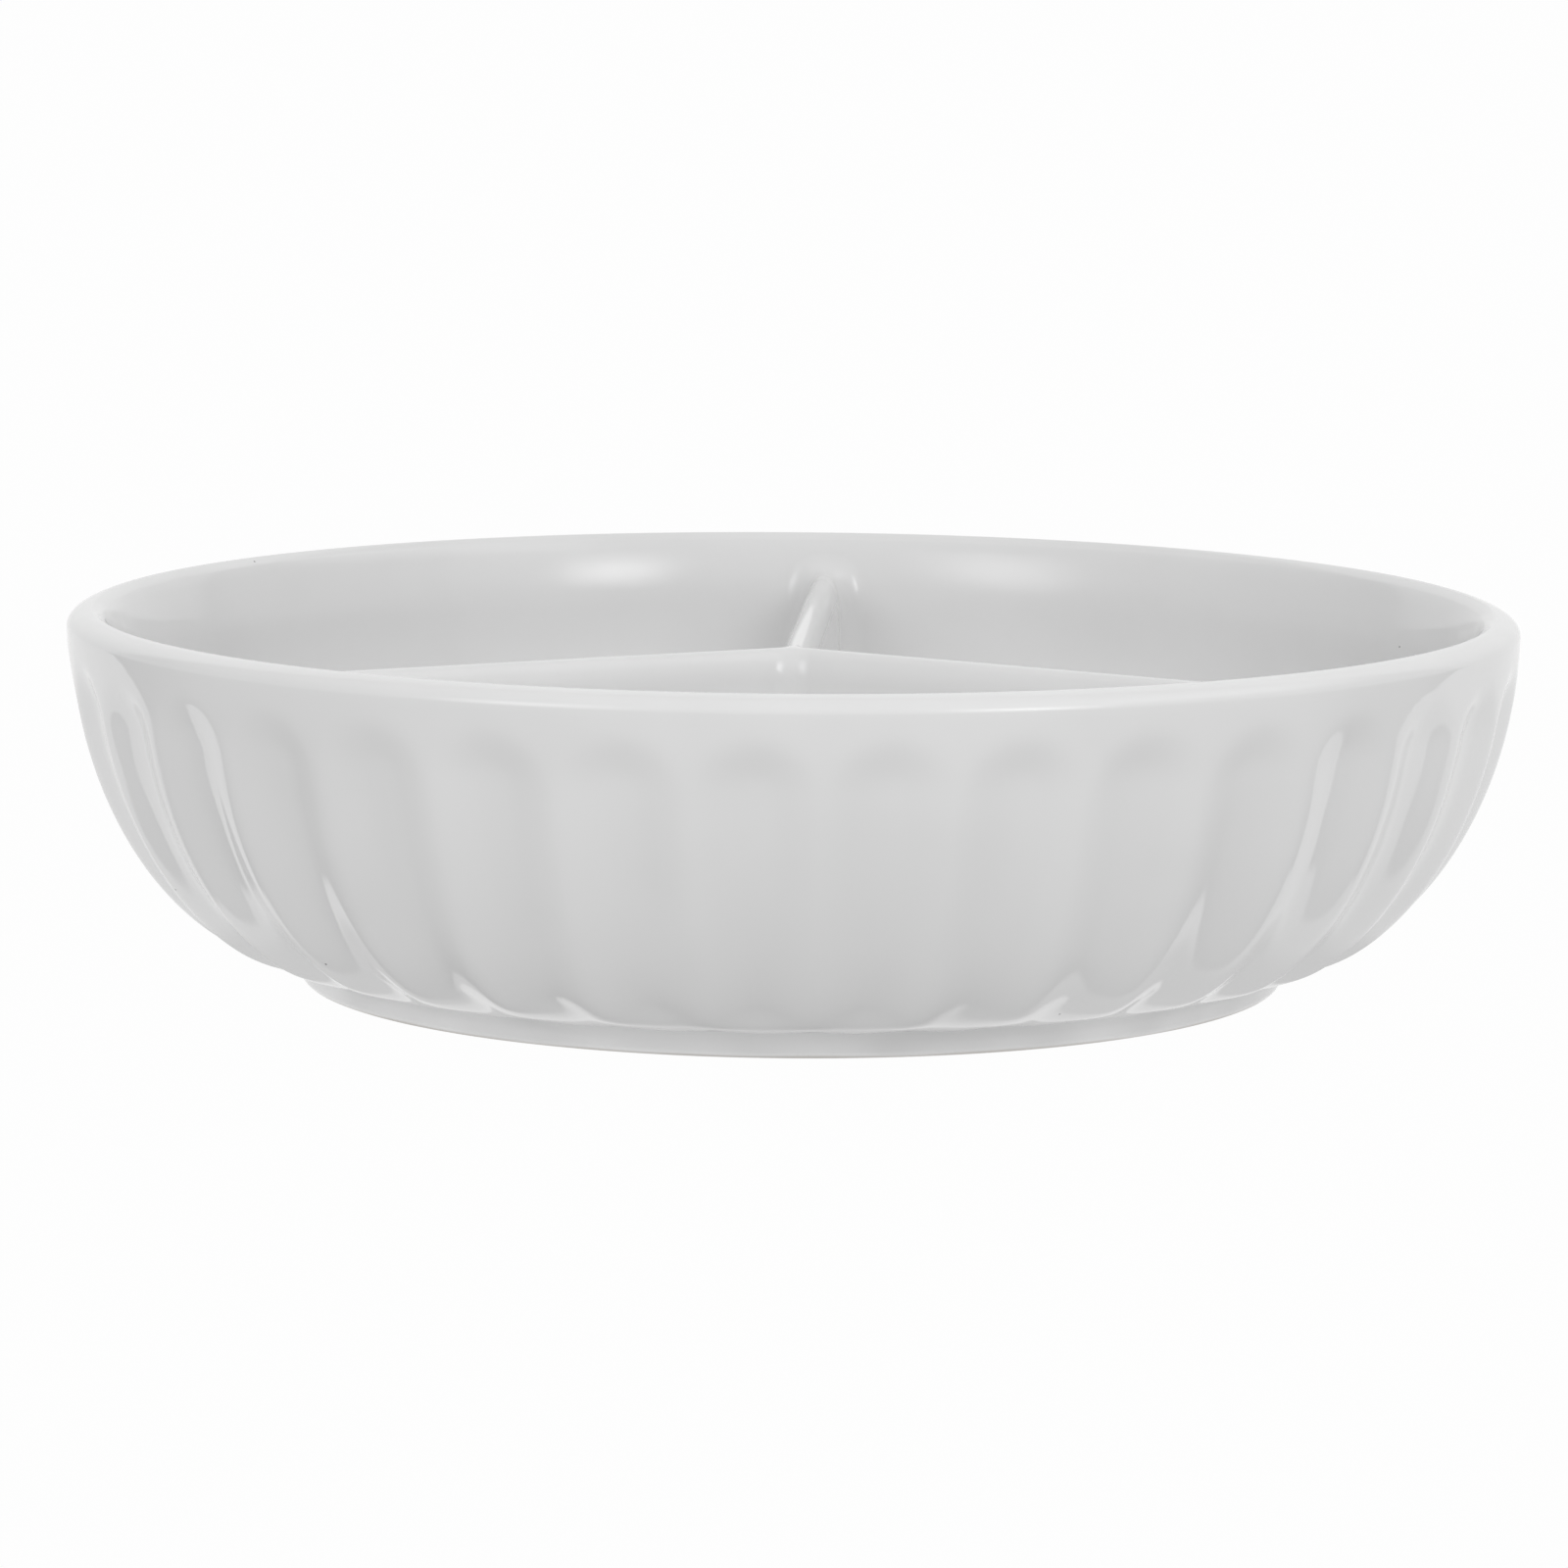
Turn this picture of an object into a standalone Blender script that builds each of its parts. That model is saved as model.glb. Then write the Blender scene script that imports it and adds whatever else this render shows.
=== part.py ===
# Divided cereal bowl: a fluted body on a foot ring, parted into three bays by three low walls
import math

import bmesh
import bpy

# Overall size, in metres
RIM_RADIUS = 0.100
BOWL_HEIGHT = 0.0515
CLEARANCE = 0.0003

# Body: the belly, the lip that opens out inside, and the floor
LIP_WIDTH = 0.0034
LIP_ROUND = 0.0019
LIP_REACH = 0.0041
LIP_DEPTH = 0.0110
WIDEST_BELOW_CREST = 0.0023
BASE_RADIUS = 0.0688
BELLY_UPRIGHT = 1.9
BELLY_FULLNESS = 0.53
FLOOR = 0.0050
FLOOR_RADIUS = 0.0664

# Foot ring under the body
FOOT_HEIGHT = 0.0035
FOOT_RADIUS = 0.0684
FOOT_WIDTH = 0.0062
FOOT_TAPER = 0.0003
FOOT_EDGE = 0.0010

# Flutes scooped into the outside of the wall
FLUTE_COUNT = 36
FLUTE_DEPTH = 0.0019
RIDGE_WIDTH = 0.0024
FLUTE_TOP_BELOW_CREST = 0.0057
ARCH_RISE = 0.0085
ARCH_TIP_SHARE = 0.30
TOE_RISE = 0.0050
TOE_DEPTH = 0.0009
TOE_SHARE = 0.55
RIDGE_LIFT = 0.0007

# Dividers: three walls that meet on the axis
DIVIDER_COUNT = 3
DIVIDER_BELOW_CREST = 0.0058
DIVIDER_THICKNESS = 0.0046
CREST_ROUND = 0.0042
DIVIDER_DRAFT = math.radians(1.5)
JOINT_FILLET = 0.0042
CREST_FILLET = 0.0050
LIP_LEAN = math.radians(18)
HUB_FILLET = 0.0050

# Mesh fineness
FLUTE_COLUMNS = 6
BELLY_ROWS = 8
BELLY_CROWDING = 1.5
ARCH_ROWS = 4
LIP_ROWS = 4
INSIDE_ROWS = 12
FOOT_COLUMNS = 72
FILLET_STEPS = 4
STRAIGHT_STEPS = 4
MERGE_DISTANCE = 0.00002

# Glazed stoneware
GLAZE_COLOUR = (0.74, 0.74, 0.74, 1.0)
GLAZE_ROUGHNESS = 0.12
SHARP_ANGLE = math.radians(40)

# Heights and radii that follow from the sizes above
WIDEST_Z = BOWL_HEIGHT - WIDEST_BELOW_CREST
FLOOR_Z = FOOT_HEIGHT + FLOOR
CREST_RADIUS = RIM_RADIUS - LIP_WIDTH
INSIDE_RADIUS = CREST_RADIUS - LIP_REACH
INSIDE_TOP_Z = BOWL_HEIGHT - LIP_DEPTH
SEAT_RADIUS = FOOT_RADIUS - FOOT_WIDTH / 2
CREST_FILLET_END = CREST_FILLET * (1 - math.cos(LIP_LEAN))
FLUTE_TOP_Z = BOWL_HEIGHT - FLUTE_TOP_BELOW_CREST
ARCH_Z = FLUTE_TOP_Z - ARCH_RISE
TOE_Z = FOOT_HEIGHT + TOE_RISE
CREST_Z = BOWL_HEIGHT - DIVIDER_BELOW_CREST
HALF_PITCH = math.pi / FLUTE_COUNT
FLUTE_HALF_ANGLE = HALF_PITCH - RIDGE_WIDTH / (2 * RIM_RADIUS)
HALF_SECTOR = math.pi / DIVIDER_COUNT


def clear_scene():
    for old in list(bpy.data.objects):
        bpy.data.objects.remove(old, do_unlink=True)


def make_collection(name):
    collection = bpy.data.collections.new(name)
    bpy.context.scene.collection.children.link(collection)
    return collection


def make_glaze(name):
    material = bpy.data.materials.new(name)
    material.use_nodes = True
    shader = material.node_tree.nodes["Principled BSDF"]
    shader.inputs["Base Color"].default_value = GLAZE_COLOUR
    shader.inputs["Roughness"].default_value = GLAZE_ROUGHNESS
    shader.inputs["Metallic"].default_value = 0.0
    material.diffuse_color = GLAZE_COLOUR
    return material


def outside_radius(z):
    """Radius of the ridges' envelope: a full belly that turns upright at the widest height."""
    climb = (z - FOOT_HEIGHT) / (WIDEST_Z - FOOT_HEIGHT)
    bulge = (1 - (1 - min(climb, 1.0)) ** BELLY_UPRIGHT) ** BELLY_FULLNESS
    return BASE_RADIUS + (RIM_RADIUS - BASE_RADIUS) * bulge


def inside_radius(z):
    """Radius of the inside: a quarter ellipse up from the floor, then one that opens out over the lip."""
    if z > INSIDE_TOP_Z:
        over = (z - INSIDE_TOP_Z) / LIP_DEPTH
        return CREST_RADIUS - LIP_REACH * math.sqrt(1 - over ** 2)
    climb = (z - FLOOR_Z) / (INSIDE_TOP_Z - FLOOR_Z)
    return FLOOR_RADIUS + (INSIDE_RADIUS - FLOOR_RADIUS) * math.sqrt(1 - (1 - climb) ** 2)


def inside_height(radius):
    """Height of the inside surface at a radius: the floor, then the same two ellipses."""
    if radius > INSIDE_RADIUS:
        over = (CREST_RADIUS - radius) / LIP_REACH
        return INSIDE_TOP_Z + LIP_DEPTH * math.sqrt(1 - over ** 2)
    reach = max(radius - FLOOR_RADIUS, 0.0) / (INSIDE_RADIUS - FLOOR_RADIUS)
    return FLOOR_Z + (INSIDE_TOP_Z - FLOOR_Z) * (1 - math.sqrt(1 - reach ** 2))


def arc(centre_x, centre_z, width, height, start, end, steps):
    """Points along part of an ellipse of the given half width and half height."""
    points = []
    for i in range(steps + 1):
        angle = start + (end - start) * i / steps
        points.append((centre_x + width * math.cos(angle), centre_z + height * math.sin(angle)))
    return points


def outside_heights():
    """Heights of the outside's rings, top to bottom: plain band, arches, then the belly."""
    heights = [WIDEST_Z]
    heights += [FLUTE_TOP_Z - ARCH_RISE * (i / ARCH_ROWS) ** 2 for i in range(ARCH_ROWS)]
    for i in range(BELLY_ROWS + 1):
        heights.append(FOOT_HEIGHT + (ARCH_Z - FOOT_HEIGHT) * (1 - i / BELLY_ROWS) ** BELLY_CROWDING)
    return heights


def body_profile():
    """From the middle of the floor up the inside, over the lip, down the outside and back under."""
    inside = []
    for i in range(INSIDE_ROWS + 1):
        climb = 1 - math.cos(math.pi / 2 * i / INSIDE_ROWS)
        z = FLOOR_Z + (INSIDE_TOP_Z - FLOOR_Z) * climb
        inside.append((inside_radius(z), z))
    for i in range(1, LIP_ROWS):
        z = INSIDE_TOP_Z + LIP_DEPTH * math.sin(math.pi / 2 * i / LIP_ROWS)
        inside.append((inside_radius(z), z))
    lip = arc(CREST_RADIUS, BOWL_HEIGHT - LIP_ROUND, LIP_WIDTH, LIP_ROUND, math.pi / 2, 0.0, LIP_ROWS)
    outside = [(outside_radius(z), z) for z in outside_heights()]
    underside = [(SEAT_RADIUS, FOOT_HEIGHT), (0.0, FOOT_HEIGHT)]
    return [(0.0, FLOOR_Z)] + inside + lip + outside + underside


def turned_mesh(name, profile, steps, closed=False):
    """The mesh that a profile at +X gives when it is turned once around Z."""
    mesh = bpy.data.meshes.new(name)
    edges = [(i, i + 1) for i in range(len(profile) - 1)]
    if closed:
        edges.append((len(profile) - 1, 0))
    mesh.from_pydata([(x, 0.0, z) for x, z in profile], edges, [])
    blank = bpy.data.objects.new(name, mesh)
    bpy.context.scene.collection.objects.link(blank)
    screw = blank.modifiers.new("turn", "SCREW")
    screw.axis = "Z"
    screw.steps = steps
    screw.render_steps = steps
    screw.use_merge_vertices = True
    screw.merge_threshold = MERGE_DISTANCE
    bpy.context.view_layer.update()
    depsgraph = bpy.context.evaluated_depsgraph_get()
    turned = bpy.data.meshes.new_from_object(blank.evaluated_get(depsgraph))
    bpy.data.objects.remove(blank, do_unlink=True)
    bpy.data.meshes.remove(mesh)
    turned.name = name
    return turned


def flute_width(z):
    """Share of the full flute width at a height: an arch at the top, a rounded toe at the foot."""
    if z >= ARCH_Z:
        return max(math.sqrt(max(1 - ((z - ARCH_Z) / ARCH_RISE) ** 2, 0.0)), ARCH_TIP_SHARE)
    if z <= TOE_Z:
        fall = (TOE_Z - z) / TOE_RISE
        return 1 - (1 - TOE_SHARE) * fall ** 2
    return 1.0


def flute_depth(z):
    """Depth in the middle of a flute at a height: it fades under the arch and runs out at the toe."""
    if z >= ARCH_Z:
        return FLUTE_DEPTH * flute_width(z)
    return FLUTE_DEPTH


def outside_slope(z):
    """Unit vector out of the wall, as (radial part, upward part)."""
    step = MERGE_DISTANCE
    rise = (outside_radius(z + step) - outside_radius(z)) / step
    return 1 / math.hypot(1, rise), -rise / math.hypot(1, rise)


def place_flute_point(vertex, column):
    """Moves one point of the outside to its place across a flute and scoops it inward."""
    z = vertex.co.z
    radius = math.hypot(vertex.co.x, vertex.co.y)
    flute = math.floor(column / FLUTE_COLUMNS + 0.5)
    step = column - flute * FLUTE_COLUMNS
    across = step / (FLUTE_COLUMNS / 2 - 1)
    angle = 2 * HALF_PITCH * flute
    if abs(across) > 1:
        angle += HALF_PITCH * math.copysign(1, across)
        scoop = 0.0
    else:
        angle += FLUTE_HALF_ANGLE * flute_width(z) * across
        scoop = 1 - across ** 2
    out, up = outside_slope(z)
    if z < FOOT_HEIGHT + MERGE_DISTANCE:
        out, up = 1.0, 0.0
        z += RIDGE_LIFT * (1 - scoop)
        scoop *= TOE_DEPTH
    else:
        scoop *= flute_depth(z)
    radius -= scoop * out
    vertex.co = (radius * math.cos(angle), radius * math.sin(angle), z - scoop * up)


def nearest_ring(profile, radius, z):
    """Place in the profile of the point that a ring was turned from."""
    return min(range(len(profile)), key=lambda i: math.hypot(profile[i][0] - radius, profile[i][1] - z))


def build_body(collection, axis):
    columns = FLUTE_COUNT * FLUTE_COLUMNS
    profile = body_profile()
    mesh = turned_mesh("bowl_body", profile, columns)
    bm = bmesh.new()
    bm.from_mesh(mesh)
    by_place = {}
    for vertex in bm.verts:
        radius = math.hypot(vertex.co.x, vertex.co.y)
        column = round(math.atan2(vertex.co.y, vertex.co.x) / (2 * math.pi) * columns) % columns
        ring = nearest_ring(profile, radius, vertex.co.z)
        if radius > MERGE_DISTANCE:
            by_place[ring, column] = vertex
    half = FLUTE_COLUMNS // 2
    merged = {}
    for (ring, column), vertex in by_place.items():
        radius = math.hypot(vertex.co.x, vertex.co.y)
        outside = radius > outside_radius(max(vertex.co.z, FOOT_HEIGHT)) - LIP_WIDTH
        fluted = outside and vertex.co.z < FLUTE_TOP_Z - MERGE_DISTANCE
        kept = half * round(column / half) % columns
        if fluted:
            place_flute_point(vertex, column)
        elif column != kept:
            merged[vertex] = by_place[ring, kept]
    bmesh.ops.weld_verts(bm, targetmap=merged)
    bmesh.ops.dissolve_degenerate(bm, dist=MERGE_DISTANCE, edges=bm.edges)
    bm.to_mesh(mesh)
    bm.free()
    return add_part("bowl_body", mesh, collection, axis)


def build_foot_ring(collection, axis):
    """A low tapered ring: its top is flush under the body and its lower corners are rounded."""
    top = FOOT_HEIGHT - CLEARANCE
    outer = FOOT_RADIUS - FOOT_TAPER
    inner = FOOT_RADIUS - FOOT_WIDTH + FOOT_TAPER
    profile = [(FOOT_RADIUS - FOOT_WIDTH, top), (FOOT_RADIUS, top)]
    profile += arc(outer - FOOT_EDGE, FOOT_EDGE, FOOT_EDGE, FOOT_EDGE, 0.0, -math.pi / 2, FILLET_STEPS)
    profile += arc(inner + FOOT_EDGE, FOOT_EDGE, FOOT_EDGE, FOOT_EDGE, -math.pi / 2, -math.pi, FILLET_STEPS)
    mesh = turned_mesh("foot_ring", profile, FOOT_COLUMNS, closed=True)
    return add_part("foot_ring", mesh, collection, axis)


def fillet_flare(distance, fillet):
    """How far a fillet of a joint stands out at a distance from the surface that it meets."""
    short = min(max(fillet - distance, 0.0), fillet)
    return fillet - math.sqrt(fillet ** 2 - short ** 2)


def distance_to_bowl(along, z):
    """Distance of a point in a divider's middle plane from the floor and wall of the bowl."""
    above = z - inside_height(along)
    before = inside_radius(z) - along
    return max(above * before / math.hypot(above, before), CLEARANCE)


def divider_heights():
    """Rows of a divider, bottom to top: floor fillet, upright face, rounded crest."""
    bottom = FLOOR_Z + CLEARANCE
    fillet_top = FLOOR_Z + JOINT_FILLET
    face_top = CREST_Z - CREST_ROUND
    heights = []
    for i in range(FILLET_STEPS):
        heights.append(bottom + (fillet_top - bottom) * (1 - math.cos(math.pi / 2 * i / FILLET_STEPS)))
    for i in range(STRAIGHT_STEPS):
        heights.append(fillet_top + (face_top - fillet_top) * i / STRAIGHT_STEPS)
    for i in range(FILLET_STEPS + 1):
        heights.append(face_top + CREST_ROUND * math.sin(math.pi / 2 * i / FILLET_STEPS))
    return heights


def divider_lengths(hub, straight, wall):
    """Columns of one row, from the hub out: hub fillet, straight face, wall fillet."""
    lengths = [hub + (straight - hub) * math.sin(math.pi / 2 * i / FILLET_STEPS) for i in range(FILLET_STEPS)]
    fillet = wall - JOINT_FILLET
    lengths += [straight + (fillet - straight) * i / STRAIGHT_STEPS for i in range(STRAIGHT_STEPS)]
    for i in range(FILLET_STEPS + 1):
        lengths.append(fillet + (wall - fillet) * math.sin(math.pi / 2 * i / FILLET_STEPS))
    return lengths


def divider_row(z):
    """Points (along, half thickness, height) of one row of a divider's face."""
    into_crest = max(CREST_ROUND - (CREST_Z - z), 0.0) / CREST_ROUND
    rounding = math.sqrt(max(1 - into_crest ** 2, 0.0))
    face = DIVIDER_THICKNESS / 2 + math.tan(DIVIDER_DRAFT) * (CREST_Z - z)
    at_hub = (face + fillet_flare(z - FLOOR_Z, JOINT_FILLET)) * rounding
    gap = CLEARANCE / (2 * math.sin(HALF_SECTOR))
    straight = gap + (at_hub + HUB_FILLET) / math.tan(HALF_SECTOR)
    hub = straight - HUB_FILLET * math.cos(HALF_SECTOR)
    end_lift = fillet_flare(CREST_FILLET_END, CREST_FILLET) * into_crest
    wall = inside_radius(z + end_lift - CLEARANCE) - CLEARANCE
    points = []
    for along in divider_lengths(hub, straight, wall):
        lift = fillet_flare(wall - along + CREST_FILLET_END, CREST_FILLET) * into_crest
        thick = (face + fillet_flare(distance_to_bowl(along, z + lift), JOINT_FILLET)) * rounding
        if along < straight:
            thick = at_hub + HUB_FILLET - math.sqrt(HUB_FILLET ** 2 - (straight - along) ** 2)
        round_back = (wall - math.sqrt(wall ** 2 - thick ** 2)) * (along / wall) ** 2
        points.append((along - round_back, thick, z + lift))
    return points


def divider_mesh():
    """One half of a divider on the +Y side of its middle plane, along +X, closed but for that plane."""
    rows = [divider_row(z) for z in divider_heights()]
    last_row = len(rows) - 1
    last_column = len(rows[0]) - 1
    bm = bmesh.new()
    across = last_column + 2
    upward = last_row + 2
    bmesh.ops.create_grid(bm, x_segments=across, y_segments=upward, size=1.0)
    for vertex in bm.verts:
        column = round((vertex.co.x + 1) / 2 * across) - 1
        row = round((vertex.co.y + 1) / 2 * upward) - 1
        inside_column = min(max(column, 0), last_column)
        inside_row = min(max(row, 0), last_row)
        along, thick, z = rows[inside_row][inside_column]
        if column < 0:
            along = CLEARANCE / (2 * math.sin(HALF_SECTOR))
        on_plane = column != inside_column or row != inside_row
        vertex.co = (along, 0.0 if on_plane else thick, z)
    bmesh.ops.remove_doubles(bm, verts=bm.verts, dist=MERGE_DISTANCE)
    bmesh.ops.dissolve_degenerate(bm, dist=MERGE_DISTANCE, edges=bm.edges)
    bm.normal_update()
    if sum(face.calc_area() * face.normal.y for face in bm.faces) < 0:
        bmesh.ops.reverse_faces(bm, faces=bm.faces)
    mesh = bpy.data.meshes.new("divider")
    bm.to_mesh(mesh)
    bm.free()
    return mesh


def build_dividers(collection, axis):
    mesh = divider_mesh()
    for i, name in enumerate(("divider_rear", "divider_left", "divider_right")):
        part = add_part(name, mesh, collection, axis)
        part.rotation_euler.z = math.pi / 2 + 2 * math.pi * i / DIVIDER_COUNT
        mirror = part.modifiers.new("other_half", "MIRROR")
        mirror.use_axis = (False, True, False)
        mirror.merge_threshold = MERGE_DISTANCE


def add_part(name, mesh, collection, axis):
    part = bpy.data.objects.new(name, mesh)
    collection.objects.link(part)
    part.parent = axis
    if not mesh.materials:
        mesh.materials.append(make_glaze(name + "_glaze"))
    mesh.shade_smooth()
    mesh.set_sharp_from_angle(angle=SHARP_ANGLE)
    return part


def main():
    clear_scene()
    collection = make_collection("divided_cereal_bowl")
    axis = bpy.data.objects.new("bowl_axis", None)
    collection.objects.link(axis)
    build_body(collection, axis)
    build_foot_ring(collection, axis)
    build_dividers(collection, axis)


main()
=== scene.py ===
# %% [markdown]
# # A white glazed bowl with three bays
#
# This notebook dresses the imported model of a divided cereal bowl. The real bowl is a fluted body on a
# foot ring, with three low walls that meet in the middle, all under one clear glossy glaze. Every piece
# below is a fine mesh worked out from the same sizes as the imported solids, which it then stands for.

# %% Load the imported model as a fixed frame
import math

import bmesh
import bpy
import numpy as np
from mathutils import Matrix, Vector


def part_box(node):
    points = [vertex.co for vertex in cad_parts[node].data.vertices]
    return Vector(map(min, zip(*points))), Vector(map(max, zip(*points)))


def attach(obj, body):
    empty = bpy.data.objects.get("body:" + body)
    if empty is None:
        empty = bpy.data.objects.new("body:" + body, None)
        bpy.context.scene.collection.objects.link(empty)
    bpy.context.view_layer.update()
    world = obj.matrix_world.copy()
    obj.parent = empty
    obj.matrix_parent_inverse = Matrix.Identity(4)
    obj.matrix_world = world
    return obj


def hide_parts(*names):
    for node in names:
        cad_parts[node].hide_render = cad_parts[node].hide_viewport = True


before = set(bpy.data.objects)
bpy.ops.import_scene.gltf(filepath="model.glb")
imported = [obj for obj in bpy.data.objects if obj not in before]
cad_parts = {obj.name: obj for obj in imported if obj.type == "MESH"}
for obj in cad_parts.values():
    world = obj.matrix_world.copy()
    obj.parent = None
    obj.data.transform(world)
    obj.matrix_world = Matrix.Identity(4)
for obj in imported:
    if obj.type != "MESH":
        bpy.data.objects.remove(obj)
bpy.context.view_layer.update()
MM = 0.001

# %% [markdown]
# ## The camera
#
# The photograph looks down on the bowl by eight degrees, from about a metre away and a little to the right
# of the rear divider, and it leans by half a degree. A long lens from that distance gives the same flat
# perspective. The camera aims at a point beside the bowl's middle, so no lens shift is needed.

# %% Camera at the photograph's viewing angle
VIEW_TURN = math.radians(2.9)
VIEW_DOWN = math.radians(8.0)
VIEW_LEAN = math.radians(0.435)
VIEW_DISTANCE = 0.996
AIM_HEIGHT = 25.9 * MM
AIM_RIGHT = -1.15 * MM
AIM_UP = 0.645 * MM
LENS_LENGTH = 164.9
SENSOR_WIDTH = 36.0
NEAREST_SEEN = 0.01


def photo_camera():
    """A camera on a sphere around the aim point, leaned about its own line of sight."""
    backward = Vector((
        math.sin(VIEW_TURN) * math.cos(VIEW_DOWN),
        -math.cos(VIEW_TURN) * math.cos(VIEW_DOWN),
        math.sin(VIEW_DOWN),
    ))
    turn = backward.to_track_quat("Z", "Y").to_matrix() @ Matrix.Rotation(VIEW_LEAN, 3, "Z")
    aim = Vector((0, 0, AIM_HEIGHT)) + turn @ Vector((AIM_RIGHT, AIM_UP, 0))
    lens = bpy.data.cameras.new("photo_camera")
    lens.lens = LENS_LENGTH
    lens.sensor_width = SENSOR_WIDTH
    lens.clip_start = NEAREST_SEEN
    camera = bpy.data.objects.new("photo_camera", lens)
    camera.matrix_world = Matrix.Translation(aim + backward * VIEW_DISTANCE) @ turn.to_4x4()
    bpy.context.scene.collection.objects.link(camera)
    bpy.context.scene.camera = camera
    return camera


camera = photo_camera()
print("camera at", tuple(round(v, 3) for v in camera.location))

# %% [markdown]
# ## Sizes
#
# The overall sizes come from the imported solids' boxes, so the fine meshes can't drift from them. The rest
# shape the section: how full the belly is, how the inside runs into the floor, and how the lip is rounded.
# The lip's top falls a little outward, and a small rounding takes it over to the inside. The section could
# be drawn as a curve by hand, but formulas let the walls between the bays ask where the inside lies.

# %% Sizes of the section
body_low, body_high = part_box("bowl_body")
foot_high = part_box("foot_ring")[1]
RIM_RADIUS = body_high.x
BOWL_HEIGHT = body_high.z
BASE_Z = body_low.z
FOOT_RADIUS = foot_high.x

LIP_WIDTH = 3.4 * MM
LIP_ROUND = 2.3 * MM
LIP_FALL = 0.15
LIP_REACH = 4.1 * MM
LIP_DEPTH = 11.0 * MM
INNER_ROUND = 1.1 * MM
INNER_SQUARENESS = 1.3
WIDEST_Z = BOWL_HEIGHT - LIP_ROUND
BASE_RADIUS = 68.8 * MM
BELLY_UPRIGHT = 1.9
BELLY_FULLNESS = 0.53
FLOOR_Z = BASE_Z + 5.0 * MM
FLOOR_RADIUS = 66.4 * MM
CREST_RADIUS = RIM_RADIUS - LIP_WIDTH
INSIDE_RADIUS = CREST_RADIUS - LIP_REACH
INSIDE_TOP_Z = BOWL_HEIGHT - LIP_DEPTH
sizes = (RIM_RADIUS, BOWL_HEIGHT, FOOT_RADIUS, BASE_Z)
print("rim, height, foot and base, mm:", [round(size / MM, 2) for size in sizes])

# %% Curves of the section
CURVE_STEPS = 2000


def outside_radius(z):
    """The ridges' envelope: a full belly that turns upright at the widest height."""
    climb = np.clip((z - BASE_Z) / (WIDEST_Z - BASE_Z), 0, 1)
    return BASE_RADIUS + (RIM_RADIUS - BASE_RADIUS) * (1 - (1 - climb) ** BELLY_UPRIGHT) ** BELLY_FULLNESS


def inside_radius(z):
    """A quarter ellipse up from the floor, then a slope that opens out to the rounding of the lip."""
    climb = np.clip((z - FLOOR_Z) / (INSIDE_TOP_Z - FLOOR_Z), 0, 1)
    bay = (INSIDE_RADIUS - FLOOR_RADIUS) * np.sqrt(1 - (1 - climb) ** 2)
    over = np.clip((z - INSIDE_TOP_Z) / LIP_DEPTH, 0, 1)
    edge = np.clip((z - BOWL_HEIGHT) / INNER_ROUND + 1, 0, 1)
    rounding = 1 - (1 - edge ** INNER_SQUARENESS) ** (1 / INNER_SQUARENESS)
    lip = (LIP_REACH - INNER_ROUND) * over ** 2 + INNER_ROUND * rounding
    return FLOOR_RADIUS + bay + lip


def inside_height(radius):
    """The same curve read the other way: the height of the inside at a radius."""
    z = np.linspace(FLOOR_Z, BOWL_HEIGHT, CURVE_STEPS)
    return np.interp(radius, inside_radius(z), z)


half_way = BOWL_HEIGHT / 2
print("wall at half height, mm:", round((outside_radius(half_way) - inside_radius(half_way)) / MM, 2))

# %% [markdown]
# ## From points to a mesh
#
# A turned or scooped pot is easiest to make as a net of points: rings of equal count, one below the other,
# joined by four-sided faces. Numpy works out all the points at once, and one helper turns any such net into
# a smooth mesh. Where a ring shrinks to a point, merging its points leaves a fan of triangles.

# %% Net of points to a smooth mesh
SHARP_ANGLE = math.radians(55)
MERGE_DISTANCE = 0.002 * MM
SLIVER_LENGTH = 0.001 * MM


def add_piece(name, points, faces, sharp_angle=SHARP_ANGLE):
    """A smooth-shaded mesh object, with coinciding points merged and its faces turned outward."""
    mesh = bpy.data.meshes.new(name)
    mesh.from_pydata(points, [], faces)
    bm = bmesh.new()
    bm.from_mesh(mesh)
    bmesh.ops.remove_doubles(bm, verts=bm.verts, dist=MERGE_DISTANCE)
    bmesh.ops.dissolve_degenerate(bm, dist=SLIVER_LENGTH, edges=bm.edges)
    bmesh.ops.recalc_face_normals(bm, faces=bm.faces)
    bm.to_mesh(mesh)
    bm.free()
    mesh.shade_smooth()
    mesh.set_sharp_from_angle(angle=sharp_angle)
    piece = bpy.data.objects.new(name, mesh)
    bpy.context.scene.collection.objects.link(piece)
    print(name, len(mesh.polygons), "faces")
    return piece


def ring_faces(rings, columns):
    """Four-sided faces between rings of points that close on themselves."""
    faces = []
    for ring in range(rings - 1):
        for column in range(columns):
            beside = (column + 1) % columns
            faces.append((
                ring * columns + column,
                ring * columns + beside,
                (ring + 1) * columns + beside,
                (ring + 1) * columns + column,
            ))
    return faces


print("points closer than", MERGE_DISTANCE / MM, "mm will be merged")

# %% [markdown]
# ## The fluted body
#
# The body is one closed section turned around the axis: floor, inside, lip, outside and underside. Its
# flutes could be cut with boolean scoops, but a formula gives cleaner highlights: each point of the outside
# is pushed in along the wall's own normal, by how far it lies inside the flute's edge. That edge is
# straight at the sides, an arch under the plain band of the lip, and a rounded toe above the foot. The push
# grows along a sloping flank up to the full depth, and soft corners melt it as thick glaze does. Down at
# the foot it changes into a scallop: the flute's middle steps back and the ridges lift.

# %% Section of the body, from the middle of the floor round to the middle of the underside
FLOOR_RINGS = 4
INSIDE_RINGS = 22
SLOPE_RINGS = 8
ROUND_RINGS = 8
CREST_RINGS = 12
OUTSIDE_RINGS = 60
OUTSIDE_CROWDING = 1.35
UNDERSIDE_RINGS = 5
UNDERSIDE_CROWDING = 3
UNDERSIDE_LIFT = 0.12 * MM
FOOT_COVER = 4.0 * MM


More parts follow.
